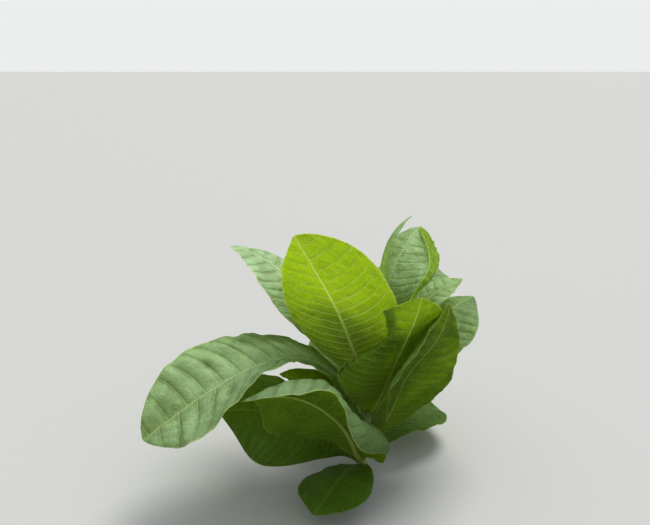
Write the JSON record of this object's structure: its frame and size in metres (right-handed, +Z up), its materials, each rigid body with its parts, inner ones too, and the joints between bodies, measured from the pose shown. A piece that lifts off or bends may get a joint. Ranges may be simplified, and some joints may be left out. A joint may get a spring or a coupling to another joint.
{
  "type": "tobacco plant",
  "caption": "Young field tobacco plant with one upright stem and large, stalkless, wavy leaves set round it in a rising spiral, from a fixed foot at ground level.",
  "frame": {"origin": "middle of the flat cut under the stem, at ground level", "axes": "+Z up, away from the ground; the picture looks along +Y and a little down, with +X to its right"},
  "size_m": [0.9483, 0.8014, 0.791],
  "materials": {
    "stem": "matt green skin with fine hairs",
    "leaf": "soft matt leaf, blue-green above and yellow-green below",
    "young_leaf": "soft matt young leaf, light yellow-green"
  },
  "bodies": {
    "root": {"bud": "young_leaf", "leaf_back_left": "leaf", "leaf_back_low_inner": "leaf", "leaf_back_low_outer": "leaf", "leaf_back_middle": "leaf", "leaf_back_right": "leaf", "leaf_back_upper": "leaf", "leaf_front_ground": "leaf", "leaf_front_middle": "leaf", "leaf_front_right": "leaf", "leaf_front_tall": "leaf", "leaf_left_arching_inner": "leaf", "leaf_left_arching_outer": "leaf", "leaf_left_ground": "leaf", "leaf_left_low_inner": "leaf", "leaf_left_low_outer": "leaf", "leaf_left_middle": "leaf", "leaf_left_upper": "leaf", "leaf_right_ground": "leaf", "leaf_right_middle": "leaf", "leaf_right_upper": "leaf", "leaf_top": "leaf", "stem": "stem", "young_leaf_back": "young_leaf", "young_leaf_front": "young_leaf"}
  },
  "joints": []
}
